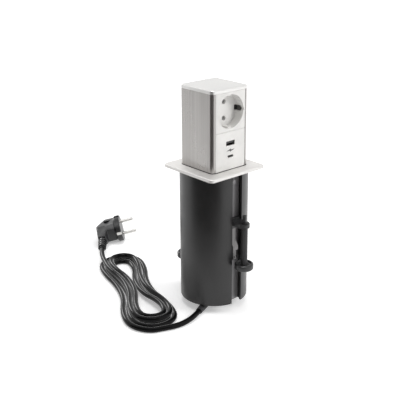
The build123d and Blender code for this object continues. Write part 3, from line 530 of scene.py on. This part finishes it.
def brushed(name, colour, stretch, roughness, contrast=0.09, height=0.00001):
    """Metal brushed one way: long thin streaks in shade and gloss, a slow cloud and fine grooves."""
    material, tree, shader = new_finish(name, colour, roughness, metallic=1)
    streaks = object_noise(tree, stretch, streak_detail, streak_rough_share)
    vary_colour(tree, shader, streaks, colour, (1 - contrast, 1 + contrast))
    vary_roughness(tree, shader, object_noise(tree, sheet_cells, detail=2), roughness, sheet_gloss)
    raise_bumps(tree, shader, streaks, height, streak_bump)
    return material


flange_finish = brushed("flange_steel", (0.74, 0.727, 0.712), (14, 900, 900), roughness=0.6, contrast=0.06)
edged("flange", flange_edge, flange_finish)

# Gap shade: black strip in the flange's opening round the column, its edge a little above the
# flange. It is painted shade: it draws the shade in the gap between column and flange as a dark line.
gap_shade_clearance = 0.0001
gap_shade_outer_gap = 0.00003
gap_shade_rise = 0.0006
gap_shade_height = 0.0025
opening_gap = 0.0004
column_corner = 0.0048
corner_points = 9
loop_points = 4 * corner_points


def square_loop(half, corner, level):
    """A level square with rounded corners. The point at angle a is the centre of its quadrant's
    corner plus the corner's radius along a."""
    point = np.arange(loop_points)
    quadrant = point // corner_points * np.pi / 2
    a = quadrant + point % corner_points / (corner_points - 1) * np.pi / 2
    x = (half - corner) * np.sign(np.cos(quadrant + np.pi / 4)) + corner * np.cos(a)
    y = (half - corner) * np.sign(np.sin(quadrant + np.pi / 4)) + corner * np.sin(a)
    return np.stack([x, y, np.full(loop_points, level)], 1)


column_half = max(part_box(node)[1].x for node in ("column_casing", "top_cap"))
opening_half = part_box("column_casing")[1].x + opening_gap
opening_corner = column_corner + opening_gap
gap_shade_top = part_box("flange")[1].z + gap_shade_rise
gap_shade_in = (column_half + gap_shade_clearance, column_corner + gap_shade_clearance)
gap_shade_out = (opening_half - gap_shade_outer_gap, opening_corner - gap_shade_outer_gap)
gap_shade_loops = [
    square_loop(*gap_shade_in, gap_shade_top),
    square_loop(*gap_shade_out, gap_shade_top),
    square_loop(*gap_shade_out, gap_shade_top - gap_shade_height),
    square_loop(*gap_shade_in, gap_shade_top - gap_shade_height),
]
loop, point = np.meshgrid(np.arange(len(gap_shade_loops)), np.arange(loop_points), indexing="ij")
here = loop * loop_points
across = (loop + 1) % len(gap_shade_loops) * loop_points
following = (point + 1) % loop_points
gap_shade_quads = np.stack([here + point, across + point, across + following, here + following], -1)
gap_shade_mesh = bpy.data.meshes.new("column_gap_shade")
gap_shade_mesh.from_pydata(np.concatenate(gap_shade_loops).tolist(), [], gap_shade_quads.reshape(-1, 4).tolist())
column_gap_shade = bpy.data.objects.new("column_gap_shade", gap_shade_mesh)
scene.collection.objects.link(column_gap_shade)
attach(column_gap_shade, "housing")
# The strip's near-black is painted shade of the gap.
gap_shade_finish = moulded("gap_shade_black", (0.02, 0.02, 0.02), roughness=0.9, grain=1500, height=0.00006, specular=0.1)
clothe(gap_shade_finish, "column_gap_shade")

# Guide collar: black moulded block in the tube's upper end that guides the column. Four zinc
# plated screws draw it up to the flange. Two like them hold the column base to the casing.
black_moulding = moulded("black_moulding", (0.03, 0.03, 0.032))
clothe(black_moulding, "guide_collar")
zinc = plated("bright_zinc", (0.62, 0.62, 0.63), roughness=0.24)
clothe(zinc, "collar_screws", "base_screws")

# Tube: extruded section with a channel in front and behind, coated satin black. The floors of the
# channels, and the two screws that hold the tube, are painted dull grey as a painted reflection.
sheen_half_width = 0.0094
sheen_reach = 0.0345
channel_sheen_colour = (0.2, 0.195, 0.2)
coat_colour = (0.009, 0.0086, 0.009)
coat_grain = 2600
coat_height = 0.000004
tube_finish = moulded("satin_black_coat", coat_colour, 0.36, coat_grain, coat_height, specular=0.55)
tube_tree = tube_finish.node_tree
tube_shader = tube_tree.nodes["Principled BSDF"]
tube_places = tube_tree.nodes.new("ShaderNodeTexCoord")
tube_axes = tube_tree.nodes.new("ShaderNodeSeparateXYZ")
tube_tree.links.new(tube_places.outputs["Object"], tube_axes.inputs[0])
# Inside these limits, on the channel floors, the coat turns lighter grey: a painted reflection of the
# white studio.
inside_sheen = []
for axis, limit in (("X", sheen_half_width), ("Y", sheen_reach)):
    distance = maths(tube_tree, "ABSOLUTE", tube_axes.outputs[axis])
    inside_sheen.append(maths(tube_tree, "LESS_THAN", distance, limit))
channel_sheen_mix = tube_tree.nodes.new("ShaderNodeMixRGB")
coat_output = tube_shader.inputs["Base Color"].links[0].from_socket
tube_tree.links.new(coat_output, channel_sheen_mix.inputs["Color1"])
channel_sheen_mix.inputs["Color2"].default_value = (*channel_sheen_colour, 1)
tube_tree.links.new(maths(tube_tree, "MULTIPLY", *inside_sheen), channel_sheen_mix.inputs["Fac"])
tube_tree.links.new(channel_sheen_mix.outputs["Color"], tube_shader.inputs["Base Color"])
# The screws take the same painted reflection as the channel floors.
clothe(tube_finish, "tube", "tube_screws")

# Bottom cap and strain relief: black moulding that closes the tube's lower end, with the foot
# that the unit stands on, and the tapered rubber sleeve that the cord leaves the foot through.
rubber = moulded("black_rubber", (0.025, 0.025, 0.027), roughness=0.55, grain=1200)
clothe(black_moulding, "bottom_cap")
clothe(rubber, "cord_strain_relief")

# Push latch and striker: grey moulded catch that stands on the bottom cap and holds the column
# down, and the zinc plated tongue under the column base that goes into it.
grey_moulding = moulded("grey_moulding", (0.4, 0.4, 0.41))
clothe(grey_moulding, "push_latch")
clothe(zinc, "latch_striker")

# Lift spring and inner lead: the coil of spring wire that raises the column, and the loose turns
# of lead inside it. Both stand on the bottom cap and are squeezed as the column goes down.
coil_steps = 36
spring_wire = 0.0022
spring_turns = 9
spring_sides = 12
lead_turns = 3.5
lead_radius = 0.013
lead_angle = radians(205)
lead_sides = 16


def coil(name, radius, thickness, turns, start_angle, sides):
    """A round bar wound on the Z axis from the bottom cap up to the column base. At share t of the
    way its middle is at the given radius, at angle start_angle plus 2 pi turns t and at height
    start plus rise t."""
    start = plate_top + thickness / 2 + seat_gap
    rise = room - thickness - 2 * seat_gap
    t = np.linspace(0, 1, int(turns * coil_steps) + 1)
    angle = start_angle + 2 * np.pi * turns * t
    outward = np.stack([np.cos(angle), np.sin(angle), 0 * t], 1)
    slope = rise / (2 * np.pi * turns * radius)
    ahead = np.stack([-np.sin(angle), np.cos(angle), slope + 0 * t], 1)
    ahead /= np.linalg.norm(ahead, axis=1, keepdims=True)
    middle = outward * radius + np.stack([0 * t, 0 * t, start + rise * t], 1)
    return swept(name, middle, ahead, outward, thickness / 2, sides)


plate_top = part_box("push_latch")[0].z
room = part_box("column_base")[0].z - plate_top
spring_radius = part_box("lift_spring")[1].x - spring_wire / 2
lift_coil = coil("lift_coil", spring_radius, spring_wire, spring_turns, 0, spring_sides)
loose_lead = coil("loose_lead", lead_radius, 2 * cord_radius, lead_turns, lead_angle, lead_sides)
squashed = [(lift_coil, "lift_spring", "spring_steel"), (loose_lead, "inner_lead", "cord_sheath")]
for piece, node, slot in squashed:
    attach(piece, "housing")
    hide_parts(node)
    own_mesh(piece)
spring_steel = plated("spring_steel", (0.5, 0.5, 0.51), roughness=0.28)
clothe(spring_steel, "lift_coil")
clothe(cord_finish, "loose_lead")

# Column casing: square tube, brushed lengthwise, with a window at the front for the two modules.
# It fits over the column base's spigot and is screwed to it.
casing_edge = 0.00025
casing_finish = brushed("casing_steel", (0.405, 0.392, 0.381), (330, 330, 3), roughness=0.3, contrast=0.12)
edged("column_casing", casing_edge, casing_finish)

# Top cap: cast metal lid, blasted and satin finished. It closes the casing, with a spigot that
# locates it, and a hand presses on it to let the column up.
cap_edge = 0.0002
cap_finish = brushed("satin_cap", (0.735, 0.73, 0.717), (500, 500, 500), roughness=0.48, contrast=0.02)
edged("top_cap", cap_edge, cap_finish)

# Column base: black moulding that closes the casing's lower end and carries the striker. It
# runs in the tube, and its two shoes stop the column under the guide collar.
clothe(black_moulding, "column_base")

# Modules: white moulded fronts that clip in the casing's window, the upper one with the recess
# for a plug and the lower one with the charging ports. Behind them are the grey mouldings that
# hold the contacts, cover the charging board and clamp the wires.
module_edge = 0.0002
module_white = (0.745, 0.735, 0.716)
white_moulding = moulded("white_moulding", module_white, roughness=0.38, grain=2600, height=0.000006)
for node in ("socket_front", "usb_front"):
    edged(node, module_edge, white_moulding)
clothe(grey_moulding, "socket_base", "usb_cover", "terminal_block")

# Shutter and contacts: the moulded slide behind the pin holes, which a plug's pins push aside,
# the bare brass contacts behind it, and the bent earth clip with an arm at each side of the
# recess, its steel painted dark as painted shade of its slots. The terminal block's screws are brass too.
shutter_finish = moulded("shutter_grey", (0.3, 0.3, 0.3))
bare_brass = plated("bare_brass", (0.72, 0.55, 0.28), roughness=0.25)
# The earth clip's dark steel is painted shade of the slots it sits in.
clip_shade_steel = plated("clip_shade_steel", (0.26, 0.255, 0.25), roughness=0.3)
clothe(shutter_finish, "socket_shutter")
clothe(bare_brass, "pin_contacts", "terminal_screws")
clothe(clip_shade_steel, "earth_clip")

# Charging ports: nickelled shells, each with a black moulded tongue, soldered to a green board.
# The board also carries a taped transformer and two sleeved capacitors.
board_finish = moulded("board_green", (0.02, 0.16, 0.06), roughness=0.3)
tape_finish = moulded("yellow_tape", (0.7, 0.5, 0.08), roughness=0.35)
sleeve_finish = moulded("dark_sleeve", (0.04, 0.05, 0.12), roughness=0.3)
clothe(nickel, "usb_a_shell", "usb_c_shell")
clothe(black_moulding, "usb_a_tongue", "usb_c_tongue")
clothe(board_finish, "usb_board")
clothe(tape_finish, "usb_transformer")
clothe(sleeve_finish, "usb_capacitors")

# Wires: three single cores in coloured sheaths, clamped in the terminal block. They go up to the
# socket's pin contacts and its earth clip.
wire_colours = {
    "wire_earth": (0.3, 0.5, 0.06),
    "wire_line": (0.2, 0.08, 0.03),
    "wire_neutral": (0.04, 0.16, 0.5),
}
for node, colour in wire_colours.items():
    clothe(moulded(node, colour, roughness=0.4), node)

# Charge mark: a plain flash printed in grey ink on the lower module, between its two ports.
# Its outline is given in shares of the mark's half width and half height.
mark_half_width = 0.0066
mark_half_height = 0.0019
mark_lift = 0.00002
mark_shares = [(-1, -0.36), (0.12, 1), (0.08, 0.3), (1, 0.36), (-0.12, -1), (-0.08, -0.3)]
mark_faces = [(0, 1, 2), (0, 2, 5), (5, 2, 3), (5, 3, 4)]
mark_level = (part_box("usb_a_shell")[0].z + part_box("usb_c_shell")[1].z) / 2
mark_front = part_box("usb_front")[0].y - mark_lift
mark_corners = []
for across_share, up_share in mark_shares:
    up = up_share * mark_half_height
    mark_corners.append((across_share * mark_half_width, mark_front, mark_level + up))
mark_mesh = bpy.data.meshes.new("charge_mark")
mark_mesh.from_pydata(mark_corners, [], mark_faces)
charge_mark = bpy.data.objects.new("charge_mark", mark_mesh)
scene.collection.objects.link(charge_mark)
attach(charge_mark, "column")
clothe(moulded("mark_ink", (0.09, 0.09, 0.09), roughness=0.5), "charge_mark")

# Clamps: black castings that slide in the channels. Each has a spring strip, held by a rivet,
# that keeps it where it is set, and a screw with a thinner end and a knob.
clamp_ends = ("front", "rear")
clamp_edge = 0.0003
casting_finish = moulded("black_casting", (0.022, 0.022, 0.023), roughness=0.4, grain=1500)
strip_steel = brushed("strip_steel", (0.2, 0.195, 0.195), (900, 900, 30), roughness=0.4)
rod_finish = moulded("black_rod", (0.02, 0.02, 0.021), roughness=0.3)
for end in clamp_ends:
    edged(f"{end}_clamp_bracket", clamp_edge, casting_finish)
    edged(f"{end}_clamp_strap", clamp_edge, strip_steel)
    edged(f"{end}_clamp_knob", clamp_edge, rod_finish)
    clothe(zinc, f"{end}_clamp_rivet")
    clothe(rod_finish, f"{end}_clamp_tip")

# Clamp screws: black steel rods with a rolled M8 thread that runs out just short of each end.
# They turn in the castings' eyes.
thread_pitch = 0.00125
thread_depth = 0.0004
thread_run_out = 0.002
thread_steps = 8
thread_sides = 24
for end in clamp_ends:
    low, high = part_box(f"{end}_clamp_screw")
    rod_radius = (high.x - low.x) / 2
    rod_middle = (low + high) / 2
    rings = int((high.z - low.z) / thread_pitch * thread_steps)
    z = np.linspace(low.z, high.z, rings + 1)
    a = np.linspace(0, 2 * np.pi, thread_sides, endpoint=False)
    phase = (z[:, None] / thread_pitch - a[None, :] / (2 * np.pi)) % 1
    run_out = np.clip(np.minimum(z - low.z, high.z - z) / thread_run_out, 0, 1)[:, None]
    radii = rod_radius - thread_depth * run_out * np.abs(2 * phase - 1)
    middle = np.stack([rod_middle.x + 0 * z, rod_middle.y + 0 * z, z], 1)
    upward = np.tile([0.0, 0.0, 1.0], (rings + 1, 1))
    aside = np.tile([1.0, 0.0, 0.0], (rings + 1, 1))
    rod = swept(f"{end}_threaded_rod", middle, upward, aside, radii, thread_sides)
    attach(rod, nodes[f"{end}_clamp_screw"]["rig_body"])
    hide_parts(f"{end}_clamp_screw")
    clothe(rod_finish, rod.name)

scene.view_settings.view_transform = "Standard"
